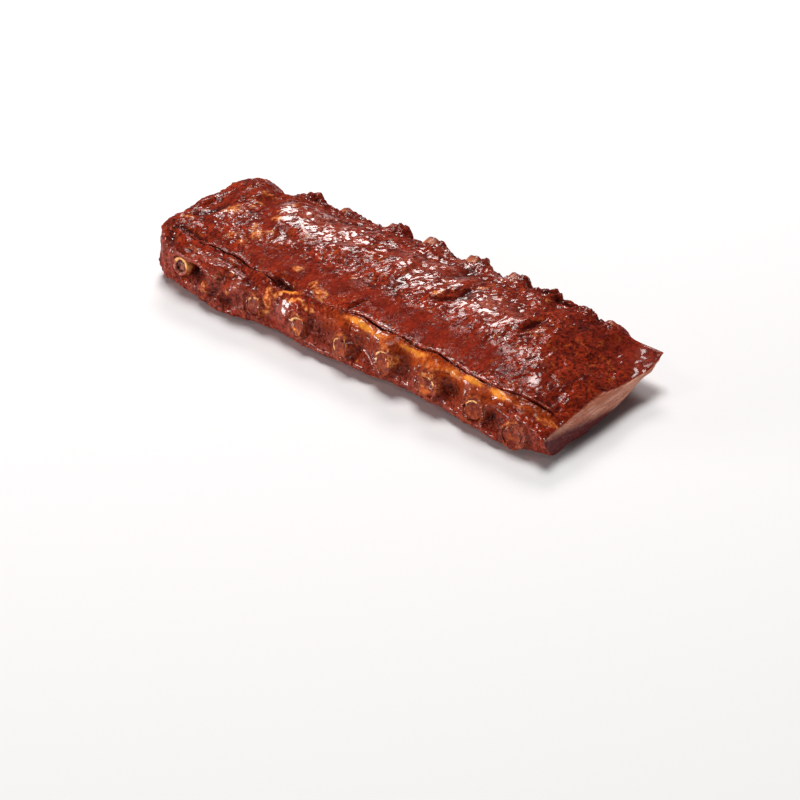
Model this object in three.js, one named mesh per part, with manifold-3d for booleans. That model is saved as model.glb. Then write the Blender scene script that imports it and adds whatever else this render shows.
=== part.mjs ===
// A roasted and glazed rack of ribs that lies on its flat bone side.
// Millimetres. X runs along the rack to its cut end, Y across it to the thin back edge, Z is up.

import * as THREE from 'three';
import { mergeVertices } from 'three/addons/utils/BufferGeometryUtils.js';
import { ImprovedNoise } from 'three/addons/math/ImprovedNoise.js';
import Module from 'manifold-3d';

// The slab. Places along the rack are measured from the middle rib.
const blindEnd = -150;
const cutEnd = 140;
const frontEdge = -53;
const backEdge = 47;
const slabHeight = 36;
const wallHeight = 23;
const leastThickness = 2;
const blindEndRound = { top: 8, topPart: 0.8, bottom: 4, front: 14, back: 24 };
const blindEndDraw = { back: 3, length: 20 };

// Mesh steps along, across and up the slab.
const alongSteps = 68;
const acrossSteps = 22;
const upSteps = 6;
const closerAtBlindEnd = { gain: 2.2, reach: 9 };
const closerAtSeam = { gain: 3.4, reach: 5 };
const closerAtBack = { gain: 0.6, reach: 9 };
const backRowsFrom = 14;
const seamRowPull = { reach: 6, from: 4, to: 22 };

// The ribs, from the blind end to the cut end. The shifts move an end of a rib along the rack,
// and a reach is how far an end stands out of the edge: the second rib's front end is covered.
const ribPitch = 30;
const backPitch = 27;
const middleRib = 4;
const frontShift = [-2.5, -3, -5, -2, 0.5, 0.5, 1, 3.5, 0];
const backShift = [-10, -6, 2, 4, 8, 10, 6, 3, -3];
const frontHeight = [17, 15, 14, 13.5, 14, 18, 15, 14, 10];
const backHeight = [17, 19, 21, 21.5, 21.5, 21.5, 20.5, 19.5, 18];
const frontReach = [2, -5, 1.4, 1.5, 1.8, 1.6, 1.7, 1.4, 1.6];
const backReach = [2.5, 3, 4.5, 6, 5.5, 6, 4, 4, 5];
const ribSag = 5.5;
const ribSizes = { spread: 0.05, wave: 2.3 };
const bone = { width: 12.4, height: 11.2, wall: 2.3, sides: 12, marrowSides: 8, steps: 5 };
const clearance = 0.3;
const marrowRecess = 0.7;
const boreBeyond = 9;

// The dome: height lost for each square millimetre off the middle line, and its slow waves.
const dome = { front: 0.0031, frontAtCut: 0.0015, back: 0.004, wave: 0.7, waveLength: 26 };
const frontSag = { drop: 2.8, from: 0, to: 45, near: 15, far: 45 };

// The rack thins to its cut end, where the back corner is a lifted flap with a thin rim.
const thinning = { start: 85, drop: 17, power: 2.4 };
const flap = { start: 98, root: -18, span: 73, lift: 21.5, power: 1.75, most: 1.1 };
const flapRim = { thickness: 2.2, rootThickness: 15.5, place: 55, power: 1.6 };

// The underside: it curls up to the back edge and is hollow between the ribs.
const curl = { start: 18, span: 30, height: 10, most: 1.2 };
const belly = { hollow: 2.4, sunk: 0.7 };

// The lengthwise seam in the glaze with its lip, and the fat strip that slopes down in front.
const seam = { place: -44, depth: 1.9, width: 1.3, start: -141, end: 138, fade: 10 };
const seamSway = { broad: 0.9, broadLength: 21, fine: 0.5, fineLength: 8.3 };
const seamTurn = { from: 95, to: 135, back: 6 };
const seamGape = { least: 0.1, most: 1, length: 17 };
const lip = { rise: 0.8, behind: 2.6, width: 2 };
const strip = { drop: 3.4, width: 8.5 };

// Lumps and hollows of the top: place, half lengths, turn in degrees and rise.
const topLumps = [
  { x: -138, y: 20, long: 13, wide: 12, turn: 20, rise: 2.6 },
  { x: -145, y: 3, long: 26, wide: 20, turn: 90, rise: -2.2 },
  { x: -126, y: 40, long: 11, wide: 8, turn: -60, rise: -6.5 },
  { x: -89, y: 44, long: 31, wide: 17, turn: 0, rise: -5 },
  { x: -139, y: -9, long: 10, wide: 3.5, turn: 90, rise: -3.2 },
  { x: -147, y: -14, long: 22, wide: 5, turn: 90, rise: 1.5 },
  { x: -137, y: 3, long: 5, wide: 4, turn: 40, rise: 1.6 },
  { x: -140, y: -42, long: 13, wide: 9, turn: 0, rise: 4.5 },
  { x: -124, y: -41, long: 6, wide: 2.5, turn: 0, rise: -2.6 },
  { x: -116, y: 16, long: 21, wide: 5, turn: -58, rise: -4 },
  { x: -101, y: 20, long: 9, wide: 7, turn: 70, rise: 1.6 },
  { x: -96, y: -49, long: 13, wide: 6, turn: -15, rise: 2.2 },
  { x: -50, y: -43, long: 7, wide: 2.8, turn: 0, rise: -4.5 },
  { x: -20, y: -37, long: 9, wide: 6, turn: 0, rise: 0.9 },
  { x: 33, y: -49, long: 8, wide: 5, turn: 0, rise: 2.6 },
  { x: 37, y: 4, long: 9, wide: 3.2, turn: 70, rise: -1.9 },
  { x: 29, y: 0, long: 8, wide: 5, turn: 70, rise: 1.2 },
  { x: 17, y: 27, long: 36, wide: 2.6, turn: 0, rise: -1.3 },
  { x: 86, y: 9, long: 10, wide: 3, turn: 80, rise: -1.8 },
  { x: 72, y: -2, long: 12, wide: 8, turn: 80, rise: 1 },
  { x: 110, y: -50, long: 9, wide: 5, turn: 0, rise: 1.6 },
];

// Lumps over each rib end, placed from the rib's own ends.
const frontKnuckle = { aside: 1, y: -51, long: 7, wide: 5, rise: 1.4 };
const backKnuckle = { aside: 8, y: 45, long: 6, wide: 7, rise: 2.6 };

// Swells of the front foot, where the meat spreads or draws back at the base.
const footSwells = [
  { x: -92, spread: 27, reach: 7.5 },
  { x: -28, spread: 16, reach: 1.6 },
  { x: 48, spread: 26, reach: -3.6 },
  { x: 112, spread: 13, reach: 3 },
];

// The front wall: how far it draws in at the foot, at the top and between the ribs, how it leans
// at the cut end, and the flat that it keeps round each rib end.
const wall = { foot: 0.8, top: 2.8, topPower: 5, between: 0.8, swellLeft: 0.1 };
const wallAtCut = { foot: 4, top: -3.5, power: 4 };
const boss = { depth: -0.6, radius: 7, fade: 11 };

// The back edge: its bulge, the scallop beside each rib end, and the notch by the blind end.
const backRim = { bulge: 3.2, flapReach: 4 };
const scallop = { aside: 5, spread: 8, reach: 5 };
const notch = { x: -129, spread: 7, depth: 5.5 };

// The cut face leans out towards the back corner.
const cutSlant = { length: 20, front: 0.8, back: 2.4, from: 15, to: 50 };

// Crags, as height and size, with what of the top's is left on the smooth flap.
const topCrags = { height: 1.7, size: 17, stretch: 0.7, level: 3 };
const fineCrags = { height: 1.3, size: 8.5, stretch: 0.6, level: 8 };
const flapCragsKept = 0.45;
const bellyCrags = { height: 0.8, size: 13 };
const wallCrags = { height: 1.1, size: 9 };
const backCrags = { height: 1.6, size: 8, level: 60, tall: 18 };
const blindCrags = { height: 1.3, size: 11, bulge: 1.2, bulgeHeight: 16, bulgeSpread: 12 };
const cutCrags = { height: 0.5, size: 9, layer: 0.5, layerSize: 7 };

const { lerp, smoothstep, clamp, degToRad } = THREE.MathUtils;
const bell = (distance) => Math.exp(-distance * distance);
const fullTurn = 2 * Math.PI;

const noise = new ImprovedNoise();
const noiseOffset = 40;
function crags(kind, x, y, z) {
  const at = [x, y, z].map((place) => place / kind.size + noiseOffset);
  return kind.height * noise.noise(...at);
}

// Positions from start to end, closer together where the density is higher.
function spread(count, start, end, density) {
  const fine = 800;
  const sums = [0];
  for (let i = 0; i < fine; i++) {
    sums.push(sums[i] + density(lerp(start, end, (i + 0.5) / fine)));
  }
  const places = [start];
  let i = 0;
  for (let k = 1; k < count; k++) {
    const wanted = (k / count) * sums[fine];
    while (sums[i + 1] < wanted) i++;
    const part = (wanted - sums[i]) / (sums[i + 1] - sums[i]);
    places.push(lerp(start, end, (i + part) / fine));
  }
  places.push(end);
  return places;
}

const ribs = frontShift.map((shift, index) => ({
  number: index + 1,
  frontX: (index - middleRib) * ribPitch + shift,
  backX: (index - middleRib) * backPitch + backShift[index],
  frontZ: frontHeight[index],
  backZ: backHeight[index],
  start: frontEdge - frontReach[index],
  end: backEdge + backReach[index],
  covered: frontReach[index] < 0,
  size: 1 + ribSizes.spread * Math.sin(index * ribSizes.wave),
}));

const acrossPart = (y) => (y - frontEdge) / (backEdge - frontEdge);
const ribX = (rib, y) => lerp(rib.frontX, rib.backX, acrossPart(y));

// The axis of a rib: it dips in the middle and lifts to the back edge.
class RibAxis extends THREE.Curve {
  constructor(rib, start, end) {
    super();
    this.rib = rib;
    this.start = start;
    this.end = end;
  }

  getPoint(t, target = new THREE.Vector3()) {
    const y = lerp(this.start, this.end, t);
    const part = acrossPart(y);
    const z = lerp(this.rib.frontZ, this.rib.backZ, part) - 4 * ribSag * part * (1 - part);
    return target.set(ribX(this.rib, y), y, z);
  }

  // The section keeps its width level along the whole rib.
  computeFrenetFrames(segments) {
    const frames = { tangents: [], normals: [], binormals: [] };
    const level = new THREE.Vector3(1, 0, 0);
    for (let i = 0; i <= segments; i++) {
      const tangent = this.getTangentAt(i / segments);
      const binormal = tangent.clone().cross(level).normalize();
      frames.tangents.push(tangent);
      frames.binormals.push(binormal);
      frames.normals.push(binormal.clone().cross(tangent));
    }
    return frames;
  }
}

// How near a place is to the closest rib: 1 on its axis, 0 midway between two.
function nearRib(x, y) {
  const distances = ribs.map((rib) => Math.abs(x - ribX(rib, y)));
  return 1 - smoothstep(Math.min(...distances), 0, ribPitch / 2);
}

// The height of an oval lump at a place off its middle.
function ovalLump(shape, offX, offY) {
  const turn = degToRad(shape.turn ?? 0);
  const along = offX * Math.cos(turn) + offY * Math.sin(turn);
  const aside = offY * Math.cos(turn) - offX * Math.sin(turn);
  return shape.rise * bell(Math.hypot(along / shape.long, aside / shape.wide));
}

// How far a rounded edge has drawn in at a distance from the end.
function edgeRound(distance, radius) {
  const left = clamp(radius - distance, 0, radius);
  return radius - Math.sqrt(radius * radius - left * left);
}

const thinningPart = (x) => clamp((x - thinning.start) / (cutEnd - thinning.start), 0, 1);
const flapPart = (x) => smoothstep(x, flap.start, cutEnd);

function flapLift(y) {
  const part = clamp((y - flap.root) / flap.span, 0, flap.most);
  return flap.lift * Math.pow(part, flap.power);
}

function flapThickness(y) {
  const part = clamp((flapRim.place - y) / flapRim.place, 0, 1);
  return flapRim.thickness + flapRim.rootThickness * Math.pow(part, flapRim.power);
}

function bottomHeight(x, y) {
  const curled = curl.height * Math.pow(clamp((y - curl.start) / curl.span, 0, curl.most), 2);
  const lifted = lerp(curled, flapLift(y), flapPart(x));
  const hollow = belly.hollow * (1 - nearRib(x, y)) - belly.sunk;
  const rounded = edgeRound(x - blindEnd, blindEndRound.bottom);
  return Math.max(0, lifted + hollow + rounded + crags(bellyCrags, x, y, 0));
}

function seamY(x) {
  const turned = seamTurn.back * smoothstep(x, seamTurn.from, seamTurn.to);
  const broad = seamSway.broad * Math.sin(x / seamSway.broadLength);
  const fine = seamSway.fine * Math.sin(x / seamSway.fineLength);
  return seam.place + turned + broad + fine;
}

// The step at the seam: a groove, a raised lip behind it and the strip that drops in front.
function seamHeight(x, y) {
  const behind = y - seamY(x);
  const open = smoothstep(Math.min(x - seam.start, seam.end - x), 0, seam.fade);
  const wave = (1 + Math.sin(x / seamGape.length + 1)) / 2;
  const groove = seam.depth * lerp(seamGape.least, seamGape.most, wave) * bell(behind / seam.width);
  const raised = lip.rise * bell((behind - lip.behind) / lip.width);
  const dropped = strip.drop * smoothstep(-behind, 0, strip.width) * (1 - flapPart(x));
  return open * (raised - groove - dropped);
}

function knuckles(x, y) {
  let height = 0;
  for (const rib of ribs) {
    height += ovalLump(frontKnuckle, x - rib.frontX - frontKnuckle.aside, y - frontKnuckle.y);
    height += ovalLump(backKnuckle, x - rib.backX - backKnuckle.aside, y - backKnuckle.y);
  }
  return height;
}

function domeHeight(x, y) {
  const end = flapPart(x);
  const top = slabHeight - thinning.drop * Math.pow(thinningPart(x), thinning.power);
  const waved = top + dome.wave * Math.sin(x / dome.waveLength);
  if (y > 0) return lerp(waved - dome.back * y * y, flapLift(y) + flapThickness(y), end);
  const sagging = smoothstep(x, frontSag.from, frontSag.to) * smoothstep(-y, frontSag.near, frontSag.far);
  return waved - lerp(dome.front, dome.frontAtCut, end) * y * y - frontSag.drop * sagging * (1 - end);
}

function topHeight(x, y) {
  let z = domeHeight(x, y) + seamHeight(x, y) + knuckles(x, y);
  for (const shape of topLumps) z += ovalLump(shape, x - shape.x, y - shape.y);
  const broad = crags(topCrags, x, y * topCrags.stretch, topCrags.level);
  const fine = crags(fineCrags, x, y * fineCrags.stretch, fineCrags.level);
  z += (broad + fine) * lerp(1, flapCragsKept, flapPart(x));
  z -= blindEndRound.topPart * edgeRound(x - blindEnd, blindEndRound.top);
  return Math.max(z, bottomHeight(x, y) + leastThickness);
}

// How far the front wall stands back from its edge, from its foot (0) to its top (1).
function frontWall(x, up) {
  const z = up * wallHeight;
  const end = Math.pow(thinningPart(x), wallAtCut.power);
  let y = wall.foot * Math.pow(1 - up, 2) + wall.top * (1 - end) * Math.pow(up, wall.topPower);
  y += end * lerp(wallAtCut.foot, wallAtCut.top, up) + wall.between * (1 - thinningPart(x));
  for (const swell of footSwells) {
    const height = Math.sqrt(1 - (1 - wall.swellLeft) * up);
    y -= swell.reach * bell((x - swell.x) / swell.spread) * height;
  }
  let flat = 0;
  for (const rib of ribs.filter(({ covered }) => !covered)) {
    const distance = Math.hypot(x - rib.frontX, z - rib.frontZ);
    flat = Math.max(flat, 1 - smoothstep(distance, boss.radius, boss.fade));
  }
  return lerp(y + crags(wallCrags, x, 0, z), boss.depth, flat);
}

// The back edge is scalloped: it reaches out beside each rib end and draws in between.
function backWall(x, up) {
  let y = backRim.bulge * (Math.sin((up * fullTurn) / 2) - 1) + backRim.flapReach * flapPart(x);
  for (const rib of ribs) {
    y += scallop.reach * bell((x - rib.backX - scallop.aside) / scallop.spread);
  }
  y -= notch.depth * bell((x - notch.x) / notch.spread);
  return y + crags(backCrags, x, backCrags.level, up * backCrags.tall);
}

// Sections are closer at the blind end, and rows are closer at the seam and the back edge.
const closer = (kind, distance) => kind.gain * bell(distance / kind.reach);
const alongPlaces = spread(alongSteps, blindEnd, cutEnd, (x) => 1 + closer(closerAtBlindEnd, x - blindEnd));
const acrossPlaces = spread(acrossSteps, frontEdge, backEdge, (y) =>
  1 + closer(closerAtSeam, y - seam.place) + closer(closerAtBack, y - backEdge));

// One row of points follows the seam, so that its groove keeps a sharp bottom.
const seamOff = (row) => Math.abs(row - seam.place);
const seamRow = acrossPlaces.reduce((best, row) => (seamOff(row) < seamOff(best) ? row : best));

function slabPoint(x, row, up) {
  const endGap = x - blindEnd;
  const front = frontEdge + edgeRound(endGap, blindEndRound.front);
  const drawn = blindEndDraw.back * bell(endGap / blindEndDraw.length);
  const back = backEdge - edgeRound(endGap, blindEndRound.back) - drawn;
  let y = lerp(front, back, acrossPart(row));
  y += frontWall(x, up) * (1 - smoothstep(row, frontEdge, seamRow - 2));
  y += backWall(x, up) * smoothstep(row, backRowsFrom, backEdge);
  const pull = bell((row - seamRow) / seamRowPull.reach);
  y += (seamY(x) - seamRow) * pull * smoothstep(endGap, seamRowPull.from, seamRowPull.to);
  const z = lerp(bottomHeight(x, y), topHeight(x, y), up);
  const leaning = lerp(cutSlant.front, cutSlant.back, smoothstep(y, cutSlant.from, cutSlant.to));
  const slant = leaning * smoothstep(x, cutEnd - cutSlant.length, cutEnd);
  return new THREE.Vector3(x + slant, y, z);
}

function blindRelief({ y, z }) {
  const bulge = blindCrags.bulge * bell((z - blindCrags.bulgeHeight) / blindCrags.bulgeSpread);
  return crags(blindCrags, blindEnd, y, z) - bulge;
}

function cutRelief({ y, z }) {
  return cutCrags.layer * Math.sin((fullTurn * z) / cutCrags.layerSize) + crags(cutCrags, cutEnd, y, z);
}

// Leaves only the positions of a geometry and joins its equal points.
function weld(geometry) {
  geometry.deleteAttribute('normal');
  geometry.deleteAttribute('uv');
  return mergeVertices(geometry, 1e-4);
}

// The slab is a gridded box whose points are moved to the meat's own outline.
function makeSlab() {
  const slab = weld(new THREE.BoxGeometry(1, 1, 1, alongSteps, acrossSteps, upSteps));
  const { position } = slab.attributes;
  for (let i = 0; i < position.count; i++) {
    const [u, v, w] = [position.getX(i) + 0.5, position.getY(i) + 0.5, position.getZ(i) + 0.5];
    const x = alongPlaces[Math.round(u * alongSteps)];
    const point = slabPoint(x, acrossPlaces[Math.round(v * acrossSteps)], w);
    const onEndFace = Math.min(v, 1 - v, w, 1 - w) > 0.01;
    if (onEndFace) point.x += u < 0.5 ? blindRelief(point) : cutRelief(point);
    position.setXYZ(i, point.x, point.y, point.z);
  }
  return slab;
}

function oval(width, height, sides) {
  const ellipse = new THREE.EllipseCurve(0, 0, width / 2, height / 2, 0, fullTurn);
  return ellipse.getPoints(sides).slice(0, sides);
}

function sweep(outline, hole, axis, steps) {
  const shape = new THREE.Shape(outline);
  if (hole) shape.holes.push(new THREE.Path(hole));
  return new THREE.ExtrudeGeometry(shape, { steps, bevelEnabled: false, extrudePath: axis });
}

const wasm = await Module();
wasm.setup();

function toManifold(geometry) {
  const welded = weld(geometry);
  const vertProperties = new Float32Array(welded.attributes.position.array);
  const triVerts = new Uint32Array(welded.index.array);
  return new wasm.Manifold(new wasm.Mesh({ numProp: 3, vertProperties, triVerts }));
}

function toGeometry(solid) {
  const { vertProperties, triVerts } = solid.getMesh();
  const geometry = new THREE.BufferGeometry();
  geometry.setAttribute('position', new THREE.BufferAttribute(new Float32Array(vertProperties), 3));
  geometry.setIndex(new THREE.BufferAttribute(new Uint32Array(triVerts), 1));
  return geometry;
}

// The passage of a rib through the meat. It runs past both edges, unless the front end is covered.
function makeBore(rib) {
  const start = rib.start - (rib.covered ? clearance : boreBeyond);
  const width = bone.width * rib.size + 2 * clearance;
  const height = bone.height * rib.size + 2 * clearance;
  const axis = new RibAxis(rib, start, rib.end + boreBeyond);
  return toManifold(sweep(oval(width, height, bone.sides), null, axis, bone.steps + 1));
}

function makeMeat() {
  const cutOut = (meat, rib) => meat.subtract(makeBore(rib));
  return toGeometry(ribs.reduce(cutOut, toManifold(makeSlab())));
}

function makeBone(rib) {
  const width = bone.width * rib.size;
  const height = bone.height * rib.size;
  const outline = oval(width, height, bone.sides);
  const hole = oval(width - 2 * bone.wall, height - 2 * bone.wall, bone.marrowSides).reverse();
  return sweep(outline, hole, new RibAxis(rib, rib.start, rib.end), bone.steps);
}

function makeMarrow(rib) {
  const shrink = 2 * (bone.wall + clearance);
  const outline = oval(bone.width * rib.size - shrink, bone.height * rib.size - shrink, bone.marrowSides);
  const axis = new RibAxis(rib, rib.start + marrowRecess, rib.end - marrowRecess);
  return sweep(outline, null, axis, bone.steps);
}

const colours = { meat: 0x7a2a16, bone: 0xc78a4c, marrow: 0x5a2416 };
const roughnesses = { meat: 0.35, bone: 0.5, marrow: 0.6 };

function addPiece(group, name, kind, geometry) {
  const material = new THREE.MeshStandardMaterial({
    color: colours[kind],
    roughness: roughnesses[kind],
    metalness: 0,
  });
  const mesh = new THREE.Mesh(geometry, material);
  mesh.name = name;
  group.add(mesh);
}

const rack = new THREE.Group();
addPiece(rack, 'meat', 'meat', makeMeat());
for (const rib of ribs) {
  addPiece(rack, `rib_bone_${rib.number}`, 'bone', makeBone(rib));
  addPiece(rack, `marrow_${rib.number}`, 'marrow', makeMarrow(rib));
}

// The origin is under the middle of the whole rack, on the surface that it lies on.
const middle = new THREE.Box3().setFromObject(rack).getCenter(new THREE.Vector3());
rack.position.set(-middle.x, -middle.y, 0);

export default rack;
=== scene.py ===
import math

import bmesh
import bpy
import numpy as np
from mathutils import Matrix, Vector, noise


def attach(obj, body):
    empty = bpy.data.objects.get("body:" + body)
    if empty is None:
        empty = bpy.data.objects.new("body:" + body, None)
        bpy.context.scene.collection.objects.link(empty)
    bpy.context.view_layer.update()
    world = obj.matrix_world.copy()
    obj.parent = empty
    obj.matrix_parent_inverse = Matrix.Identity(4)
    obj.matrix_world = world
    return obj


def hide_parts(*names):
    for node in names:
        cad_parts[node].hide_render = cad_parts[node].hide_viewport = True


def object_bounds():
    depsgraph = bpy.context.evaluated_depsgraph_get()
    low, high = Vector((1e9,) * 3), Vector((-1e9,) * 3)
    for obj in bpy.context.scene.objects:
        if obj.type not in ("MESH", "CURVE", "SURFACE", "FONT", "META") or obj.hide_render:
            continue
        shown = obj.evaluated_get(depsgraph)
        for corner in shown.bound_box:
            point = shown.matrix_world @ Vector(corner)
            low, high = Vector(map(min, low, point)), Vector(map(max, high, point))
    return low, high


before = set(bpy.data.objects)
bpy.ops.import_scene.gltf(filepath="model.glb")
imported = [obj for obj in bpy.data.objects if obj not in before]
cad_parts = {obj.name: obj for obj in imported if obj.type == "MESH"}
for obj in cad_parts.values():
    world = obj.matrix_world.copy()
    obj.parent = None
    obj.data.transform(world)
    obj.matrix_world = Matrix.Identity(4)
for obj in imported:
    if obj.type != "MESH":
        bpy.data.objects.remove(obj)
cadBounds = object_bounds()
scene = bpy.context.scene

# Places are in millimetres from the foot of the middle rib, as in the part's own drawing.
mm = 0.001
middleRib = np.array([4.611, 2.085, 0.0])
ribNumbers = range(1, 10)

view = {
    "azimuth": 41.152, "elevation": 33.592,               # degrees
    "distance": 1294.55, "right": 3.489, "up": 39.686,    # mm from the foot of the middle rib
    "lens": 104.284, "sensor": 36, "clipEnd": 20,         # mm, but the clip in m
}


def makeCamera():
    turn, tilt = math.radians(view["azimuth"]), math.radians(view["elevation"])
    right = Vector((math.cos(turn), math.sin(turn), 0))
    back = Vector((math.sin(turn) * math.cos(tilt), -math.cos(turn) * math.cos(tilt), math.sin(tilt)))
    up = back.cross(right)
    place = Vector(middleRib) - right * view["right"] - up * view["up"] + back * view["distance"]
    camera = bpy.data.objects.new("camera", bpy.data.cameras.new("camera"))
    camera.data.lens = view["lens"]
    camera.data.sensor_width = view["sensor"]
    camera.data.clip_end = view["clipEnd"]
    camera.matrix_world = Matrix((right, up, back)).transposed().to_4x4()
    camera.location = place * mm
    scene.collection.objects.link(camera)
    scene.camera = camera
    print("camera at", [round(value, 3) for value in camera.location])


studio = {
    # Soft boxes: direction from +X and height in degrees, distance, width and height in m, watts, colour.
    "boxes": {
        "windowBox": (131, 36, 3.0, 1.0, 0.8, 43, (1.0, 0.94, 0.91)),
        "keyBox": (136, 72, 3.0, 1.3, 1.3, 84, (1.0, 0.98, 0.965)),
        "frontFill": (-126, 3.8, 3.0, 1.7, 0.3, 86, (1.0, 0.96, 0.94)),
        "edgeBox": (-135, 42, 3.0, 0.6, 0.4, 5, (1.0, 0.96, 0.95)),
        "sideFill": (-18, 6, 3.0, 1.2, 0.45, 14, (1.0, 0.95, 0.93)),
    },
    "aim": (0, 0, 0.02),
    "sky": (0.9, 0.93, 1.0, 1),
    "skyStrength": 0.04,
}


def makeLights():
    aim = Vector(studio["aim"])
    for name, (angle, rise, distance, width, height, watts, colour) in studio["boxes"].items():
        angle, rise = math.radians(angle), math.radians(rise)
        away = Vector((math.cos(angle) * math.cos(rise), math.sin(angle) * math.cos(rise), math.sin(rise)))
        light = bpy.data.lights.new(name, "AREA")
        light.shape = "RECTANGLE"
        light.size, light.size_y = width, height
        light.energy = watts
        light.color = colour
        lamp = bpy.data.objects.new(name, light)
        lamp.location = aim + away * distance
        lamp.rotation_euler = away.to_track_quat("Z", "Y").to_euler()
        scene.collection.objects.link(lamp)
    world = bpy.data.worlds.new("studio")
    scene.world = world
    world.use_nodes = True
    setInputs(world.node_tree.nodes["Background"], Color=studio["sky"], Strength=studio["skyStrength"])
    scene.view_settings.view_transform = "Standard"
    print("lights set")


def setInputs(node, **values):
    # An underscore stands for a space in the name of an input.
    for name, value in values.items():
        node.inputs[name.replace("_", " ")].default_value = value


def smoothStep(values, low, high):
    part = np.clip((values - low) / (high - low), 0, 1)
    return part * part * (3 - 2 * part)


def within(values, start, end):
    # 1 between two soft borders, each given by its own beginning and end.
    return smoothStep(values, *start) * (1 - smoothStep(values, *end))


def bell(values):
    return np.exp(-values * values)


def plateau(values, power=4):
    # A bell with a flatter top and steeper sides.
    return np.exp(-values ** power)


def cloud(place, size, seed=0.0):
    # Soft noise between -1 and 1, with a size in millimetres on each axis.
    points = (place / np.array(size) + seed).tolist()
    return np.array([noise.noise(point) for point in points])


def ridges(place, size, seed=0.0):
    return 1 - 2 * np.abs(cloud(place, size, seed))


def granules(place, size, seed=0.0):
    # Rounded lumps with narrow creases between them, between about -1 and 1.
    points = (place / np.array(size) + seed).tolist()
    return np.array([0.8 - 1.7 * noise.voronoi(point)[0][0] for point in points])


def valuesOf(mesh, kind):
    flat = np.empty(len(mesh.vertices) * 3)
    mesh.vertices.foreach_get(kind, flat)
    return flat.reshape(-1, 3)


def placesOf(mesh):
    return valuesOf(mesh, "co") / mm - middleRib


def setPlaces(mesh, place):
    mesh.vertices.foreach_set("co", ((place + middleRib) * mm).ravel())
    mesh.update()


def writeAttributes(mesh, **layers):
    for name, values in layers.items():
        layer = mesh.attributes.new(name, "FLOAT", "POINT")
        layer.data.foreach_set("value", np.clip(values, 0, 1).astype(np.float32))


def mergedCopy(nodeName):
    shape = bmesh.new()
    shape.from_mesh(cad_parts[nodeName].data)
    bmesh.ops.remove_doubles(shape, verts=shape.verts, dist=1e-6)
    return shape


def objectFrom(shape, name):
    mesh = bpy.data.meshes.new(name)
    shape.to_mesh(mesh)
    shape.free()
    piece = bpy.data.objects.new(name, mesh)
    scene.collection.objects.link(piece)
    return piece


def applied(piece):
    # The mesh with its modifiers worked in, so that it can be shaped further.
    shaped = bpy.data.meshes.new_from_object(piece.evaluated_get(bpy.context.evaluated_depsgraph_get()))
    piece.modifiers.clear()
    piece.data = shaped
    return piece


def smoothShaded(piece, material):
    piece.data.shade_smooth()
    piece.data.materials.clear()
    piece.data.materials.append(material)


# In mm: how deep an end face may lie, and how far a rib's middle dips below the line between its ends.
ribEnds = {"faceDepth": 2.5, "dip": 5.5}


def endPlace(nodeName, atBack):
    place = placesOf(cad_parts[nodeName].data)
    y = place[:, 1]
    near = y > y.max() - ribEnds["faceDepth"] if atBack else y < y.min() + ribEnds["faceDepth"]
    low, high = place[near].min(axis=0), place[near].max(axis=0)
    middle = (low + high) / 2
    across = place[near] - middle
    lean = np.linalg.lstsq(across[:, [0, 2]], across[:, 1], rcond=None)[0]
    return middle, (high - low) / 2, lean


ribs = []
for number in ribNumbers:
    front, size, lean = endPlace(f"rib_bone_{number}", False)
    back, _, _ = endPlace(f"rib_bone_{number}", True)
    ribs.append({
        "number": number, "front": front, "back": back, "lean": lean,
        "halfWide": size[0], "halfHigh": size[2],
    })

coveredRib = 2  # its front end stays inside the meat
bareBackRibs = {3: 9, 4: 12, 5: 11, 6: 10, 9: 8}  # how far the back end of a rib is bare on top, in mm

# The bright arc on the rim of each front bone end: its direction in degrees, its reach and strength.
rimArcs = {
    1: (85, 1.0, 1.0), 3: (115, 0.7, 0.8), 4: (120, 0.9, 1.0), 5: (165, 0.8, 0.8), 6: (130, 0.95, 1.0),
    7: (50, 0.5, 1.0), 8: (110, 0.6, 1.0), 9: (95, 0.6, 0.5),
}


def axisOf(rib, y):
    # The middle of a rib's bone at places across the rack.
    part = (y - rib["front"][1]) / (rib["back"][1] - rib["front"][1])
    x = rib["front"][0] + (rib["back"][0] - rib["front"][0]) * part
    z = rib["front"][2] + (rib["back"][2] - rib["front"][2]) * part - 4 * ribEnds["dip"] * part * (1 - part)
    return x, z


def onArc(rib, u, v, uneven):
    # Where the rim of a front bone end shows bare and golden.
    direction, reach, strength = rimArcs[rib["number"]]
    facing = np.cos(np.arctan2(v, u) - math.radians(direction)) + 0.35 * uneven
    return np.clip(strength * smoothStep(facing, 1.0 - reach, 1.15 - 0.6 * reach), 0, 1)


def ovalAt(u, v, longHalf, wideHalf, turn):
    turn = math.radians(turn)
    along = u * math.cos(turn) + v * math.sin(turn)
    aside = v * math.cos(turn) - u * math.sin(turn)
    return np.hypot(along / longHalf, aside / wideHalf)


meatBody = {
    "voxel": 1.83,           # mm
    "smoothings": 2,
    "flapEdge": (112, 46),   # mm; past these on x and y in the frame lies the flap's thin edge
    "flapSmoothings": 10,
    "plugGrow": 3.0,
    "plugFront": -45.5,
    "plugBack": 38,
    "seamBand": 1.6,         # half width of the finest band along the seam
    "ringBand": 3.2,         # width of the finest band round each bone end
}


def makePlug(number):
    # A solid that fills the passage of a rib, short of both its ends.
    shape = mergedCopy(f"marrow_{number}")
    for end, side in ((meatBody["plugFront"], -1), (meatBody["plugBack"], 1)):
        everything = shape.verts[:] + shape.edges[:] + shape.faces[:]
        bmesh.ops.bisect_plane(
            shape, geom=everything, plane_co=(0, (end + middleRib[1]) * mm, 0), plane_no=(0, side, 0),
            clear_outer=True)
        bmesh.ops.holes_fill(shape, edges=[edge for edge in shape.edges if edge.is_boundary])
    bmesh.ops.recalc_face_normals(shape, faces=shape.faces)
    shape.normal_update()
    grow = meatBody["plugGrow"] * mm
    grown = [vert.co + vert.normal * grow * vert.calc_shell_factor() for vert in shape.verts]
    for vert, place in zip(shape.verts, grown):
        vert.co = place
    return shape


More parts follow.
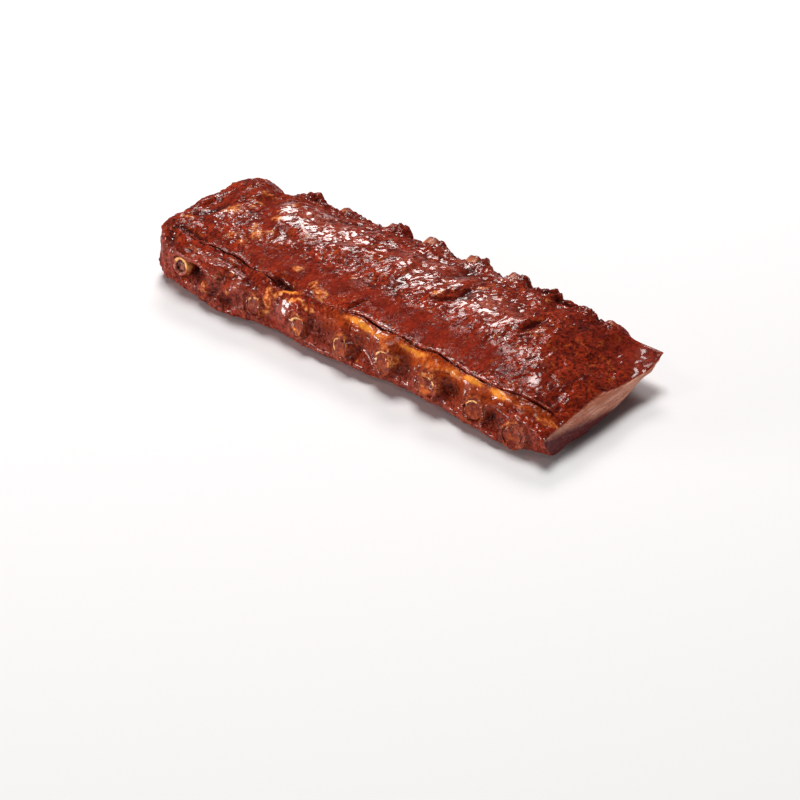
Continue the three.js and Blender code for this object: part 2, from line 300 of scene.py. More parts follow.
def smoothPoints(shape, points, times=1):
    for _ in range(times):
        bmesh.ops.smooth_vert(
            shape, verts=points, factor=0.5, use_axis_x=True, use_axis_y=True, use_axis_z=True)


def makeMeatBody():
    body = mergedCopy("meat")
    for number in ribNumbers:
        plug = makePlug(number)
        mesh = bpy.data.meshes.new("plug")
        plug.to_mesh(mesh)
        plug.free()
        body.from_mesh(mesh)
        bpy.data.meshes.remove(mesh)
    piece = objectFrom(body, "glazedMeat")
    even = piece.modifiers.new("even", "REMESH")
    even.mode = "VOXEL"
    even.voxel_size = meatBody["voxel"] * mm
    applied(piece)
    shape = bmesh.new()
    shape.from_mesh(piece.data)
    smoothPoints(shape, shape.verts, meatBody["smoothings"])
    flapX, flapY = meatBody["flapEdge"]
    flapEdge = [vert for vert in shape.verts if vert.co.x > flapX * mm and vert.co.y > flapY * mm]
    smoothPoints(shape, flapEdge, meatBody["flapSmoothings"])
    refine(shape, isShown)
    smoothPoints(shape, shape.verts)
    refine(shape, isFinest)
    shape.to_mesh(piece.data)
    shape.free()
    triangles = sum(len(face.vertices) - 2 for face in piece.data.polygons)
    print("meat body", len(piece.data.vertices), "points", triangles, "triangles")
    return piece


def refine(shape, isChosen):
    # Splits the chosen faces once more.
    shape.normal_update()
    edges = set()
    for face in shape.faces:
        x, y, z = np.array(face.calc_center_median()) / mm - middleRib
        if isChosen(x, y, z, face.normal):
            edges.update(face.edges)
    bmesh.ops.subdivide_edges(shape, edges=list(edges), cuts=1, use_grid_fill=True)


def frontAway(rib, x, z):
    # Distance from the middle of a front bone end, 1 at its rim.
    return math.hypot((x - rib["front"][0]) / rib["halfWide"], (z - rib["front"][2]) / rib["halfHigh"])


def isShown(x, y, z, normal):
    # All but the underside, the back wall and the inside of the sockets.
    if normal.z < -0.35 or (normal.y > 0.8 and z < 10):
        return False
    return y >= -30 or all(frontAway(rib, x, z) >= 0.92 for rib in ribs)


def isFinest(x, y, z, normal):
    # Beside the seam and round the bone ends.
    if normal.z > 0.2 and abs(y - seamAt(x) - 0.4) < meatBody["seamBand"]:
        return True
    return y <= -48 and any(
        rib["number"] != coveredRib
        and 0.9 < frontAway(rib, x, z) < 1 + meatBody["ringBand"] / rib["halfWide"]
        for rib in ribs)


# Noise of the skin: its size in mm on each axis, its seed and its amount in mm.
skinNoise = {
    "grain": ((2.3, 3.4, 2.3), 3.1, 0.34),
    "fineGrain": ((1.7, 2.2, 1.7), 17.7, 0.3),
    "lumps": ((4.4, 6.2, 4.4), 5.3, 0.62),
    "swell": ((13, 17, 13), 1.7, 1.0),
    "fibres": ((1.9, 3, 7), 22.1, 0.45),
    "strands": ((4.6, 6, 15), 6.6, 1.5),
    "nodules": ((3.0, 3.0, 2.6), 7.3, 1.0),
    "crags": ((6.5, 6.5, 7.5), 12.3, 1.5),
    "fineCrags": ((3.1, 3.1, 3.4), 4.9, 1.3),
    "endLumps": ((4, 3.2, 7), 31, 1.4),
    "endGrain": ((2.6, 2.6, 3.4), 9, 0.6),
    "cutLayers": ((3, 9, 1.8), 14, 0.3),
    "underLumps": ((5, 9, 5), 19, 0.35),
    "underGrain": ((1.6, 5, 2), 2, 0.18),
}


# The sides of the rack: how far the skin turns towards each, and where in mm each begins.
sides = {
    "top": (0.2, 0.65), "under": (0.3, 0.7), "front": (0.3, 0.75), "frontFrom": (40, 48),
    "back": (-0.5, 0.1), "backFrom": (33, 43), "cut": (0.58, 0.72), "cutFrom": (133, 137),
    "blind": (0.35, 0.8), "blindFrom": (128, 138), "flapAlong": (105, 125), "flapAcross": (12, 36),
}


class Skin:
    # The points of the meat's skin, the side of the rack that each is on, and what is laid on them.
    def __init__(self, mesh):
        self.place, self.normal = placesOf(mesh), valuesOf(mesh, "normal")
        self.x, self.y, self.z = x, y, z = self.place.T
        nx, self.ny, self.nz = self.normal.T
        self.top = smoothStep(self.nz, *sides["top"])
        self.under = smoothStep(-self.nz, *sides["under"])
        self.front = smoothStep(-self.ny, *sides["front"]) * smoothStep(-y, *sides["frontFrom"])
        self.back = smoothStep(y, *sides["backFrom"]) * smoothStep(self.nz, *sides["back"])
        self.cutEnd = smoothStep(nx, *sides["cut"]) * smoothStep(x, *sides["cutFrom"])
        self.blindEnd = smoothStep(-nx, *sides["blind"]) * smoothStep(-x, *sides["blindFrom"])
        self.flap = smoothStep(x, *sides["flapAlong"]) * smoothStep(y, *sides["flapAcross"])
        self.relief, self.fat, self.pale, self.dark, self.char, self.calm = np.zeros((6, len(x)))

    def raiseTo(self, layer, values):
        setattr(self, layer, np.maximum(getattr(self, layer), values))

    def noiseOf(self, kind, name):
        size, seed, amount = skinNoise[name]
        return kind(self.place, size, seed) * amount

    def onTop(self, shape, atX, atY, *oval):
        # A soft spot on the top, an oval of half length, half width and turn.
        return shape(ovalAt(self.x - atX, self.y - atY, *oval))

    def onWall(self, shape, atX, atZ, *oval):
        # A soft spot on the front wall, an oval of half width, half height and turn.
        return shape(ovalAt(self.x - atX, self.z - atZ, *oval))

    def lay(self, near, rise, **amounts):
        # Raises the relief at a spot, and each layer named up to its amount.
        self.relief += rise * near
        for layer, amount in amounts.items():
            self.raiseTo(layer, amount * near)


# Smooth stretches of the top. x, y, half length, half width, turn.
valleys = [(-112, 10, 17, 6, -55), (-96, -6, 12, 5, -15)]

calmBand = {
    "place": -31, "halfWidth": 10, "start": (-100, -75), "end": (118, 130), "amount": 0.9,
    "weakerFrom": (80, 95), "weaker": 0.6,
    "tornAt": (-6, -38, 10, 6, 0), "torn": 0.8,   # an oval as above, and how much weaker the band is there
    "flap": 0.55,                                 # how smooth the flap is
}


def calmTop(skin):
    # The valleys at the blind end, the band behind the seam and the flap are smooth.
    look = calmBand
    for valley in valleys:
        skin.raiseTo("calm", skin.onTop(bell, *valley))
    band = plateau((skin.y - look["place"]) / look["halfWidth"])
    band *= within(skin.x, look["start"], look["end"])
    weaker = look["weaker"] * smoothStep(skin.x, *look["weakerFrom"])
    band *= 1 - weaker - look["torn"] * skin.onTop(bell, *look["tornAt"])
    skin.raiseTo("calm", look["amount"] * band)
    skin.raiseTo("calm", look["flap"] * skin.flap)


def glazeTop(skin):
    # Small lumps drawn out along the ribs.
    skin.grain = skin.noiseOf(granules, "grain") + skin.noiseOf(cloud, "fineGrain")
    lumps = skin.noiseOf(cloud, "lumps") + skin.noiseOf(cloud, "swell")
    skin.relief += skin.top * (1 - 0.6 * skin.calm) * (skin.grain + lumps)


# Smooth skin that is drawn tight over the front wall. x, z, half width, half height, turn.
membranes = [
    (-112, 22, 15, 3.4, -10), (-78, 20.5, 8.5, 5, 20), (-43, 12, 9, 10, 0), (-41, 23, 6, 4, 0),
    (-15, 8, 8, 6, 0), (14, 10, 7, 8, 0), (46, 9, 7, 7, 0), (72, 7, 7, 5, 0), (107, 18.6, 9, 2.8, -3),
    (14, 22, 6, 2.5, 0), (40.5, 21, 4, 3, 0), (124, 12, 5, 8, 0),
]


def fibreWall(skin):
    # Fibres stand upright between the bones of the front wall.
    fibres = skin.noiseOf(cloud, "fibres") + skin.noiseOf(cloud, "strands")
    clusters = smoothStep(cloud(skin.place, (9, 9, 9), 51), 0.05, 0.4)
    nodules = skin.noiseOf(granules, "nodules") * (0.1 + 0.8 * clusters)
    skin.membrane = np.zeros(len(skin.x))
    for membrane in membranes:
        skin.raiseTo("membrane", skin.onWall(plateau, *membrane) * skin.front)
    rough = (1 - 0.8 * skin.membrane) * (0.3 + 0.7 * smoothStep(skin.z, 1, 7))
    skin.relief += skin.front * rough * (fibres + nodules + 0.4 * skin.grain)
    skin.raiseTo("calm", 0.25 * skin.membrane)


# The lump of flesh beside each bare back end: its place from that end, half sizes and rise.
backLump = {"aside": 7, "inwards": 3.5, "halfLong": 4.6, "halfWide": 5, "rise": 2.6}


def roughenEdges(skin):
    # Crags along the back edge, and finer relief on both ends and below.
    crags = skin.noiseOf(ridges, "crags") + skin.noiseOf(cloud, "fineCrags")
    skin.relief += skin.back * (1 - 0.85 * skin.flap) * (crags + 0.9 * skin.grain - 0.5)
    for number in bareBackRibs:
        endX, endY, _ = ribs[number - 1]["back"]
        atX, atY = endX + backLump["aside"], endY - backLump["inwards"]
        near = skin.onTop(bell, atX, atY, backLump["halfLong"], backLump["halfWide"], 0)
        skin.lay(near * smoothStep(skin.nz, -0.3, 0.2), backLump["rise"], char=1)
    skin.relief += skin.blindEnd * (skin.noiseOf(cloud, "endLumps") + skin.noiseOf(granules, "endGrain"))
    skin.relief += skin.cutEnd * skin.noiseOf(cloud, "cutLayers")
    skin.relief += skin.under * (skin.noiseOf(cloud, "underLumps") + skin.noiseOf(cloud, "underGrain"))


seam = {
    "place": -44, "turnBack": 6, "turnFrom": 95, "turnTo": 135, "start": (-141, -130), "end": (132, 138),
    "swell": 0.7, "swellWidth": 2.0,             # the skin rises gently on both sides
    "depth": 0.3, "width": 0.42,
    "lip": 0.5, "lipBehind": 1.1, "lipWidth": 0.6,
}

# Open stretches of the seam, with painted shade down in the crack: place along the rack, half length and
# depth.
seamCracks = [(-97, 17, 1.5), (-62, 6, 0.9), (16, 13, 1.6), (57, 15, 1.3), (90, 8, 0.8), (127, 9, 1.2)]


def seamAt(x):
    turned = seam["turnBack"] * smoothStep(x, seam["turnFrom"], seam["turnTo"])
    return seam["place"] + turned + 0.9 * np.sin(x / 21) + 0.5 * np.sin(x / 8.3) + 0.25 * np.sin(x / 2.9)


def openSeam(skin):
    # An open crack with a raised lip behind it, and painted shade down in the crack.
    skin.behind = behind = skin.y - seamAt(skin.x)
    skin.onSeam = onSeam = smoothStep(skin.nz, 0.1, 0.5) * within(skin.x, seam["start"], seam["end"])
    crack = 0.25 + 0.5 * cloud(skin.place, (5, 50, 50), 71)
    for at, half, depth in seamCracks:
        crack += depth * bell((skin.x - at) / half)
    swell = seam["swell"] * bell(behind / seam["swellWidth"])
    skin.relief += onSeam * (swell - (seam["depth"] + crack) * bell(behind / seam["width"]))
    lip = seam["lip"] * bell((behind - seam["lipBehind"]) / seam["lipWidth"])
    skin.relief += onSeam * lip * np.clip(crack + 0.3 * cloud(skin.place, (2.2, 9, 9), 77), 0, 1)
    skin.raiseTo("dark", onSeam * np.clip(crack * 0.7, 0, 1) * bell((behind + 0.1) / 0.45))


folds = {"ahead": 6.5, "halfWidth": 4, "start": (-127, -114), "end": (-80, -64), "spacing": 3.5, "rise": 0.8}


def foldSkin(skin):
    # Folds run beside the seam in front of it at the blind end.
    ahead = -skin.behind
    skin.folds = bell((ahead - folds["ahead"]) / folds["halfWidth"]) * smoothStep(skin.nz, -0.1, 0.3)
    skin.folds *= within(skin.x, folds["start"], folds["end"])
    phase = ahead + 0.9 * cloud(skin.place, (16, 16, 16), 83) + 0.06 * (skin.x + 100)
    skin.relief += folds["rise"] * skin.folds * np.cos(phase * 2 * math.pi / folds["spacing"])


# Lumps, hollows and spots of the top. x, y, half length, half width, turn, rise, fat, painted shade laid in a
# hollow.
topMarks = [
    (-124.4, -10.4, 6.5, 5, 30, 1.0, 1.0, 0),
    (-122, 19, 4, 3, 20, 0.5, 0.55, 0),
    (-116.5, -1, 3.5, 2.2, 60, 0.4, 0.6, 0),
    (-117, 5.5, 4.5, 2, 40, 0.4, 0.5, 0),
    (-138.5, -31.5, 5, 2.4, 45, 0.5, 0.8, 0),
    (-100, 4, 3, 2, 60, 0.3, 0.55, 0),
    (-82, 43, 3.5, 2.4, 80, 0.5, 0.6, 0),
    (-70.5, -5, 4.5, 3, 20, 0.3, 0.6, 0),
    (-88.5, -16, 4, 3, 60, 0.5, 0.75, 0),
    (-100, -16.5, 5, 3.2, 110, 0.5, 0.75, 0),
    (-93.6, -21.5, 6, 4, 120, 0.7, 0.95, 0),
    (-104.5, -30, 4, 3.4, 45, 0.4, 0.75, 0),
    (-95.5, -31, 4, 3, 60, 0.3, 0.65, 0),
    (-51.8, -32.2, 3.6, 2.6, 20, 0.6, 1.0, 0),
    (-95, -3, 5, 4, 0, 0.5, 0.7, 0),
    (-98.5, 15.5, 6, 4, 0, 0.4, 0.65, 0),
    (-122, 17.5, 6, 4.5, 40, 0.6, 0.6, 0),
    (-35, -37.5, 5, 3.6, 120, 0.7, 0.7, 0),
    (-26, -41, 7, 3.6, -20, 0.9, 0.95, 0),
    (27, -5, 4.5, 2.6, 70, 0.4, 0.8, 0),
    (41, 16, 3.8, 1.4, 60, 0.5, 1, 0),
    (-20, -21, 3.5, 1.8, 60, 0.3, 0.6, 0),
    (73, 33, 4.2, 2.4, 70, 0.5, 0.6, 0),
    (92, 2.5, 7, 3.4, 75, 0.8, 0.45, 0),
    (5, 16, 5, 1.6, 75, 0.2, 0.4, 0),
    (-133, -16, 8, 3, 62, -2.6, 0, 1),
    (-131, -42.5, 5, 1.6, 5, -1.6, 0, 1),
    (-120, -41.5, 6, 1.5, 0, -1.4, 0, 0.9),
    (-69, 26, 5, 2.4, 40, -1, 0, 0.8),
    (-64, 31, 3, 2, 60, -0.9, 0, 0.8),
    (-1.5, -37.0, 4.2, 0.9, 78, -1.6, 0, 0.95),
    (-4.5, -37.5, 5.0, 2.4, 75, 1.7, 0.35, 0),
    (1.5, -34.5, 3.5, 1.8, 60, 1.1, 0.3, 0),
    (-11.5, -41, 4.5, 3.4, 0, 0.9, 0.15, 0),
    (29, 8, 14, 5, 74, 1.2, 0, 0),
    (36, -4, 9, 1.7, 46, -1.9, 0, 1),
    (38, 6, 6, 1.6, 76, -1.2, 0, 0.8),
    (-21, -4, 8, 1.5, 68, 0.9, 0, 0),
    (85.5, 4, 8, 1.8, 84, -2.1, 0, 1),
    (79, 41, 6, 2.2, 20, -2.4, 0, 1),
    (88, 46, 5, 2.2, 10, -2.2, 0, 0.9),
    (67, 42, 4, 1.8, 40, -1.5, 0, 0.8),
    (103, -20, 6, 1.2, 60, -0.8, 0, 0.6),
    (-49.5, -43.2, 7.5, 1.7, 3, -2.2, 0, 1),
    (-55.5, -44, 3, 2.4, 30, -1.6, 0, 1),
]


def markTop(skin):
    for *oval, rise, fatness, darkness in topMarks:
        near = skin.onTop(bell, *oval) * smoothStep(skin.nz, 0, 0.3)
        # Hollows take painted shade from the last column.
        skin.lay(near, rise, fat=fatness, dark=darkness)


strip = {
    "ahead": 4.2, "halfWidth": 3.6, "start": (-30, 5), "end": (132, 140), "calm": 0.6,
    "fatRise": 0.7, "fatSpread": 1.25,
}

# Fat of the sloping strip in front of the seam. x, y, half length, half width, turn, fat, pale.
stripFat = [
    (9, -46.8, 12, 1.9, 1, 1.0, 1.0),
    (22, -47.2, 8, 1.6, 4, 0.9, 0.7),
    (46, -46.6, 11, 1.7, 3, 1.0, 0.8),
    (60, -48.4, 10, 1.9, 0, 0.8, 0.3),
    (74, -47.6, 9, 2.4, 0, 0.95, 0.7),
    (87, -47.4, 7, 1.8, 0, 1.0, 1.0),
    (105, -47.2, 7.5, 2.2, 0, 1.0, 1.0),
    (134, -44.2, 7, 2.4, 20, 0.75, 0.35),
    (118, -47.5, 5, 2, 10, 0.5, 0),
    (-43, -47, 8, 1.0, 8, 1.0, 0.8),
    (-37, -49.6, 7, 1.1, 4, 0.85, 0.5),
    (-50, -49.2, 4, 0.9, 20, 0.8, 0.4),
    (-11, -49.5, 9, 2.6, 0, 0.3, 0.0),
    (-56.5, -51.5, 3.4, 3, 60, 0.75, 0.1),
    (-28, -50, 6, 1.4, 0, 0.6, 0.1),
    (-118, -49, 8, 2.6, 10, 0.35, 0),
]


def layStrip(skin):
    # The strip slopes from the seam down to the front wall.
    facing = smoothStep(skin.nz, -0.2, 0.2)
    skin.strip = plateau((skin.behind + strip["ahead"]) / strip["halfWidth"])
    skin.strip *= within(skin.x, strip["start"], strip["end"]) * facing
    skin.raiseTo("calm", strip["calm"] * skin.strip)
    for *oval, fatness, paleness in stripFat:
        near = np.clip(strip["fatSpread"] * skin.onTop(bell, *oval) * facing, 0, 1)
        skin.lay(near, strip["fatRise"] * fatness, fat=fatness, pale=paleness, calm=1)


# Lumps, hollows and spots of the front wall. x, z, half width, half height, turn, rise, fat, painted shade
# laid in a hollow.
wallMarks = [
    (-84, 9.8, 4.4, 3.6, 20, -3.2, 0, 1),
    (-95.3, 11.4, 8, 1.5, 55, -2.6, 0, 1),
    (-90, 22, 5, 1.2, 60, -0.8, 0, 0.6),
    (-78.5, 20.5, 6.5, 4.5, 20, 3.2, 0, 0),
    (-112, 23, 15, 2.8, -9, 2.0, 0, 0),
    (-108, 18, 13, 1.4, -9, -1.2, 0, 0.5),
    (-70, 24, 8, 1.5, -12, -0.9, 0, 0.4),
    (-101.5, 13.5, 6, 5, 40, 2.0, 0.6, 0),
    (-92, 21.5, 4, 3, 0, 1.4, 0.5, 0),
    (-83.5, 16, 4.5, 2.6, 0, 1.4, 0.5, 0),
    (-73, 8, 5, 3.4, 30, 0.5, 0.35, 0),
    (-56.5, 22, 3.4, 3.4, 45, 0.8, 0.7, 0),
    (-57, 14, 1.6, 5, 10, 0.6, 0.5, 0),
    (15.5, 10.5, 5.2, 7.5, -12, 1.6, 0, 0),
    (10.5, 11, 1.2, 6, -12, -0.8, 0, 0.5),
    (12.6, 12.5, 1.0, 6.5, -12, 0.3, 0.6, 0),
    (36.6, 20.0, 3.2, 3.4, 20, 2.4, 1.0, 0),
    (28, 24.2, 6, 1.4, 5, 0.6, 0.6, 0),
    (62, 22, 5, 1.5, 10, 0.6, 0.95, 0),
    (68.5, 17, 1.4, 5, 10, 0.5, 0.6, 0),
    (106, 12, 5.5, 4.4, 0, -1.8, 0, 0.7),
    (107, 18.6, 8.5, 2.2, -3, 3.6, 0, 0),
    (78, 15, 5.5, 4, 0, -1.1, 0, 0.4),
    (46, 14, 5, 5, 0, -0.9, 0, 0.15),
    (-16, 12, 6, 6, 0, -0.9, 0, 0.15),
    (-43, 13, 7, 9, 0, 2.2, 0, 0),
    (-134.5, 28.5, 3.8, 3.8, 40, -2.4, 0, 1),
    (24, 4, 2, 1, 0, 0.3, 0.9, 0),
]


def markWall(skin):
    nearWall = smoothStep(-skin.y, 42, 48) * smoothStep(-skin.ny, -0.1, 0.3)
    for *oval, rise, fatness, darkness in wallMarks:
        # Hollows take painted shade from the last column.
        skin.lay(skin.onWall(bell, *oval) * nearWall, rise, fat=fatness, dark=darkness)


wallShape = {
    "sinks": {4: 3.0, 5: 2.2, 6: 2.4, 7: 4.6, 8: 4.6},   # how deep it sinks in between a rib and the next one
    "sinkEdge": 7.6, "sinkAside": 0.8, "sinkUp": 2.5, "sinkHalfHigh": 7,
    "bellyHigh": 6.5, "bellyHalf": 4.5, "bellyStart": (-50, -15), "bellyEnd": (118, 130),
    "bellyOut": 3.0, "bellyUneven": 1.5,
    "footFrom": 0.3, "footTo": 3.5, "footIn": 3,
    # The gap beside the first rib's end: an oval, its depth, and the painted shade in its hollow.
    "gap": (8, -2, 9.5, 4.8, 12), "gapDepth": 6, "gapPaintedShade": 0.95,   # an oval beside the first rib's end
}


def bendWall(skin, moved):
    # Between the bones the wall sinks in, most under the strip of fat.
    look, x, z = wallShape, skin.x, skin.z
    skin.sink = np.zeros(len(x))
    for number, depth in look["sinks"].items():
        left, right = ribs[number - 1]["front"], ribs[number]["front"]
        wide = (right[0] - left[0]) / 2 - look["sinkEdge"]
        aside = np.abs(x - (left[0] + right[0]) / 2 - look["sinkAside"]) / wide
        tall = np.abs(z - (left[2] + right[2]) / 2 - look["sinkUp"]) / look["sinkHalfHigh"]
        skin.raiseTo("sink", depth * plateau(aside, 3) * plateau(tall))
    moved[:, 1] += skin.sink * skin.front * (0.9 + 0.6 * cloud(skin.place, (7, 7, 9), 61))

    # Low down it swells out, and its foot draws back under the meat.
    belly = bell((z - look["bellyHigh"]) / look["bellyHalf"]) * skin.front
    belly *= within(x, look["bellyStart"], look["bellyEnd"])
    uneven = look["bellyUneven"] * cloud(skin.place, (9, 20, 9), 29)
    moved[:, 1] -= belly * (look["bellyOut"] + uneven)
    foot = (1 - smoothStep(z, look["footFrom"], look["footTo"])) * smoothStep(-skin.y, 36, 44)
    moved[:, 1] += look["footIn"] * foot

    # It stands back from the first rib's right flank, down to a hollow with painted shade in it.
    firstX, _, firstZ = ribs[0]["front"]
    aside, up, *oval = look["gap"]
    gap = plateau(ovalAt(x - firstX - aside, z - firstZ - up, *oval), 3) * skin.front
    moved[:, 1] += look["gapDepth"] * gap
    skin.raiseTo("dark", look["gapPaintedShade"] * gap * smoothStep(firstZ - z, -1, 2.5))


# The knob of flesh round a bone end: half width and half height.
knobs = {
    3: (7.2, 7.8), 4: (7.4, 8.0), 5: (7.8, 8.4), 6: (7.6, 10.2), 7: (8.4, 8.6), 8: (7.8, 8.4), 9: (8.8, 8.4),
}

knobShape = {
    "uneven": 0.14, "edge": (0.92, 1.14),
    "bareLift": 0.35,                     # mm; the flesh stands back from a bare arc of the rim
    "cover": 0.1, "leeCover": 0.7,        # mm; elsewhere it covers the rim, most on the upper right
    "outerDrop": 1.2, "leeSwell": 1.3,
    "shoulder": 1.6,
    "ring": 0.87, "ringHalf": 0.1,        # the golden ring of fat on the knob
}


def raiseKnobs(skin, moved):
    # Flesh stands round each front bone end, level with its cut face.
    look = knobShape
    x, y, z = moved.T
    facing = smoothStep(-skin.ny, 0.25, 0.6) * smoothStep(-y, 40, 44)
    skin.knob, ringed = np.zeros(len(x)), np.zeros(len(x))
    for number, (halfWide, halfHigh) in knobs.items():
        rib = ribs[number - 1]
        u, v = x - rib["front"][0], z - rib["front"][2]
        uneven = cloud(moved, (4.5, 4.5, 4.5), 33 + number)
        away = np.hypot(u / halfWide, v / halfHigh) * (1 + look["uneven"] * uneven)
        share = (1 - smoothStep(away, *look["edge"])) * facing
        bared = onArc(rib, u, v, uneven)
        small = cloud(moved, (1.7, 1.7, 1.7), number)
        lee = smoothStep(u / halfWide + v / halfHigh, -0.5, 0.5)
        level = rib["front"][1] + rib["lean"][0] * u + rib["lean"][1] * v
        level += look["bareLift"] * bared
        level -= (1 - bared) * (look["cover"] + lee * (look["leeCover"] + 0.5 * uneven))
        level += look["outerDrop"] * smoothStep(away, 0.95, 1.15) + 0.3 * small
        level -= look["leeSwell"] * lee * bell((away - 0.87) / 0.11) * (0.6 + 0.4 * uneven)
        level += 0.5 * cloud(moved, (1.6, 4, 5), 40 + number)
        moved[:, 1] += (level - y) * share
        skin.raiseTo("knob", share)
        shoulder = bell((u + 1.1 * halfWide) / (0.7 * halfWide)) * plateau(v / (1.05 * halfHigh))
        above = np.minimum(level + look["shoulder"] + 0.5 * uneven - moved[:, 1], 0)
        moved[:, 1] += above * shoulder * facing * (1 - share)
        ring = bell((away - look["ring"] - 0.05 * small) / look["ringHalf"])
        ring *= smoothStep(v / halfHigh + 0.6 * uneven + 0.3 * small, 0.3, 0.9)
        ringed = np.maximum(ringed, ring * facing)
    skin.raiseTo("fat", 0.8 * ringed)
    skin.raiseTo("pale", 0.35 * ringed)


def bareBackEnds(skin, moved):
    # The skin dips below the top of a rib's bare back end.
    x, y, z = moved.T
    for number, bare in bareBackRibs.items():
        rib = ribs[number - 1]
        axisX, axisZ = axisOf(rib, y)
        start = rib["back"][1] - bare
        aside = (x - axisX) / rib["halfWide"]
        surface = axisZ + rib["halfHigh"] * np.sqrt(np.clip(1 - aside * aside, 0, 1))
        frayed = cloud(moved, (3, 3, 3), 60 + number)
        along = smoothStep(y + 2 * frayed, start - 2, start + 2)
        cover = 1 - along * (1 - smoothStep(np.abs(aside + 0.35) + 0.25 * frayed, 1.05, 1.6))
        limit = np.minimum(surface - 1.4, axisZ + rib["halfHigh"] - 3.2 + frayed) + 12 * cover
        lower = np.minimum(z, np.maximum(limit, axisZ - 1)) - z
        moved[:, 2] += lower * smoothStep(skin.nz, -0.2, 0.3) * (cover < 1)


# How far the mouth of a socket is drawn in, as shares of the bone's own half width.
mouths = {"middle": 0.86, "uneven": 0.2, "least": 0.7, "most": 0.94, "firstRib": 1.02, "reach": 1.35}


def hugBones(moved):
    # Draws the mouth of each socket in until it meets the bone.
    for rib in ribs:
        if rib["number"] == coveredRib:
            continue
        x, y, z = moved.T
        u, v = x - rib["front"][0], z - rib["front"][2]
        away = np.hypot(u / rib["halfWide"], v / rib["halfHigh"])
        uneven = cloud(np.stack([u, v, 0 * u], 1), (3.4, 3.4, 3.4), 15 + rib["number"])
        mouth = np.full(len(x), mouths["firstRib"])
        if rib["number"] in knobs:
            mouth = np.clip(mouths["middle"] + mouths["uneven"] * uneven, mouths["least"], mouths["most"])
        windward = 1 - smoothStep(u / rib["halfWide"] + v / rib["halfHigh"], -0.5, 0.5)
        mouth += np.maximum(mouths["most"] - mouth, 0) * np.maximum(onArc(rib, u, v, uneven), windward)
        drawn = mouth + (away - 0.98) * (mouths["reach"] - mouth) / (mouths["reach"] - 0.98)
        isNear = (away > 0.9) & (away < mouths["reach"])
        share = np.where(isNear, np.maximum(drawn, mouth - 0.05) / np.maximum(away, 0.5), 1)
        share = 1 + (share - 1) * smoothStep(-y, 44, 49)
        moved[:, 0] = rib["front"][0] + u * share
        moved[:, 2] = rib["front"][2] + v * share


def limitToSolid(moved):
    # Nothing leaves the box of the solid part.
    low = np.array(cadBounds[0]) / mm - middleRib + 0.02
    high = np.array(cadBounds[1]) / mm - middleRib - 0.02
    low[2] = 0
    np.clip(moved, low, high, out=moved)


# Where the glaze shines most. x, y, half length, half width, turn, amount.
shineZones = [
    (-66, 11, 34, 15, -12, 1.0),
    (-92, 10, 16, 14, -30, 0.8),
    (-56, 29, 16, 7, 0, 0.8),
    (-77, -15, 10, 5, -10, 0.9),
    (-126, -16, 8, 5, -30, 0.9),
    (4, 12, 40, 24, 0, 0.75),
    (6, 40, 26, 10, 0, 0.8),
    (40, 40, 10, 9, 0, 0.9),
    (56, 3, 26, 22, 0, 0.85),
    (98, -19, 17, 7, 5, 0.9),
    (114.5, -30, 4, 6, 30, 0.8),
    (106, 22, 16, 7, 0, 0.6),
    (132, 34, 13, 13, 0, 0.6),
    (15, -46.7, 16, 4, 2, 0.9),
    (88, -48, 24, 4, 0, 0.7),
]

# Where the skin of the front wall shines. x, z, half width, half height, turn, amount.
wallShine = [(-78.5, 21, 7, 4, 20, 0.9), (-45, 16, 4, 5, -20, 0.5)]

# How much each kind of skin shines.
shineOf = {"rough": 0.14, "wall": 0.04, "strip": 0.12, "membrane": 0.2, "lip": 0.8, "folds": 0.8}


def shineLayer(skin):
    skin.shine = shineOf["rough"] * (1 - skin.calm) + shineOf["wall"] * skin.front
    skin.shine += shineOf["strip"] * skin.strip + shineOf["membrane"] * skin.membrane
    skin.raiseTo("shine", shineOf["lip"] * skin.onSeam * bell((skin.behind - 1.2) / 0.8))
    skin.raiseTo("shine", shineOf["folds"] * skin.folds)
    for *oval, amount in shineZones:
        skin.raiseTo("shine", amount * skin.onTop(plateau, *oval) * smoothStep(skin.nz, 0.2, 0.5))
    for *oval, amount in wallShine:
        skin.raiseTo("shine", amount * skin.onWall(plateau, *oval) * skin.front)


def colourSkin(skin, mesh):
    # Painted shade darkens the hollows of the relief and the sinks between the bones, fat takes little of it,
    # and a painted shadow darkens the cut face downwards.
    paintedSinkShade = 0.07 * skin.sink * skin.front * smoothStep(skin.z, 8, 15)
    paintedHollowShade = np.maximum(smoothStep(-skin.relief, 0.1, 1.1), paintedSinkShade)
    shineLayer(skin)
    skin.dark *= 1 - 0.7 * np.clip(skin.fat, 0, 1)
    # A painted shadow darkens the cut face low down, reaching higher towards the front.
    paintedShadowEdge = 11 + 3 * cloud(skin.place, (5, 20, 5), 2)
    low = skin.cutEnd * (1 - smoothStep(skin.z + 0.16 * skin.y, 5, paintedShadowEdge))
    skin.raiseTo("char", np.maximum(skin.back * (1 - skin.flap), 0.6 * skin.blindEnd))
    writeAttributes(
        mesh, knob=skin.knob, fat=skin.fat, pale=skin.pale, strip=skin.strip, char=skin.char,
        cut=skin.cutEnd, low=low, shine=skin.shine * (1 - 0.8 * skin.dark),
        dark=np.maximum(skin.dark, 0.75 * paintedHollowShade * (1 - 0.5 * skin.front)),
        calm=np.maximum(skin.calm, 0.45 * skin.blindEnd),
        wall=np.maximum(skin.front * (1 - skin.top), 0.35 * skin.blindEnd))


def shapeMeat(piece):
    skin = Skin(piece.data)
    for step in (calmTop, glazeTop, fibreWall, roughenEdges, openSeam, foldSkin, markTop, layStrip, markWall):
        step(skin)
    skin.relief *= 1 - 0.85 * skin.flap * smoothStep(skin.y, 28, 42)  # the flap's thin edge stays smooth
    moved = skin.place + skin.normal * skin.relief[:, None]
    bendWall(skin, moved)
    raiseKnobs(skin, moved)
    bareBackEnds(skin, moved)
    hugBones(moved)
    limitToSolid(moved)
    setPlaces(piece.data, moved)
    colourSkin(skin, piece.data)
    print("meat shaped")


